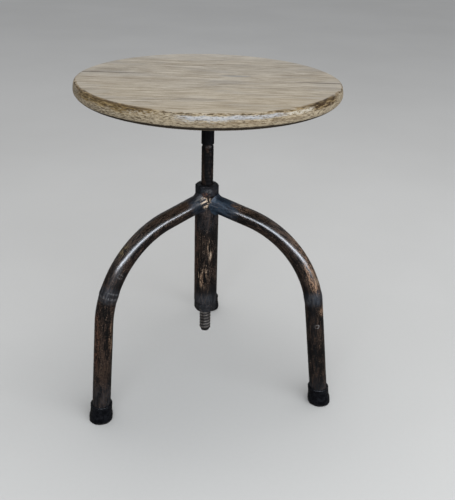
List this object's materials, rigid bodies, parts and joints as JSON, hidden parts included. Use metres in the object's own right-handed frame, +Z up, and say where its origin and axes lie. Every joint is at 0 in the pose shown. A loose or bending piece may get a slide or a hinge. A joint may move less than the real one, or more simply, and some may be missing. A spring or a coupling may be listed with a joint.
{
  "type": "screw stool",
  "caption": "Round wooden seat on a threaded steel spindle that screws up and down in a hub on three bent tube legs with rubber feet.",
  "frame": {"origin": "middle of the sitting surface in the rest position; the floor is 0.452 m below it", "axes": "+Z up along the spindle, +Y towards the rear leg, +X to the sitter's right as seen from the front, along the seat's grain"},
  "size_m": [0.3634, 0.3798, 0.452],
  "materials": {
    "seat_wood": "weathered grey-tan, worn pale and stained brown round the rim",
    "plate_steel": "dark mill scale",
    "screw_steel": "plain steel",
    "boss_black": "black, semi-gloss",
    "spindle_steel": "dark oiled steel with rust in the thread",
    "nut_steel": "blue-black, semi-gloss",
    "hub_paint": "dark brown-black, worn through to brown metal",
    "leg_paint": "dark brown-black with a rusty patina, semi-gloss",
    "weld_bead": "blue-black heat tint",
    "foot_rubber": "glossy black",
    "washer_steel": "plain steel"
  },
  "bodies": {
    "frame": {"hub_tube": "hub_paint", "top_nut": "nut_steel", "bottom_nut": "nut_steel", "leg_bend_rear": "leg_paint", "leg_bend_left": "leg_paint", "leg_bend_right": "leg_paint", "leg_post_rear": "leg_paint", "leg_post_left": "leg_paint", "leg_post_right": "leg_paint", "hub_weld_rear": "weld_bead", "hub_weld_left": "weld_bead", "hub_weld_right": "weld_bead", "splice_weld_rear": "weld_bead", "splice_weld_left": "weld_bead", "splice_weld_right": "weld_bead", "foot_rear": "foot_rubber", "foot_left": "foot_rubber", "foot_right": "foot_rubber", "foot_washer_rear": "washer_steel", "foot_washer_left": "washer_steel", "foot_washer_right": "washer_steel"},
    "lift_carrier": {"seat_boss": "boss_black"},
    "seat": {"spindle": "spindle_steel", "seat_plate": "plate_steel", "seat_slab": "seat_wood", "seat_screw_1": "screw_steel", "seat_screw_2": "screw_steel", "seat_screw_3": "screw_steel", "seat_screw_4": "screw_steel"}
  },
  "joints": [
    {"name": "seat_lift", "type": "slide", "parent": "frame", "child": "lift_carrier", "axis": [0, 0, 1], "range_m": [-0.0451, 0.0451]},
    {"name": "seat_turn", "type": "hinge", "parent": "lift_carrier", "child": "seat", "pos_m": [0, 0, 0], "axis": [0, 0, 1], "range_deg": [-3240, 3240]}
  ],
  "couplings": [
    {"joint": "seat_lift", "follows": "seat_turn", "m_per_rad": 0.00079577}
  ]
}
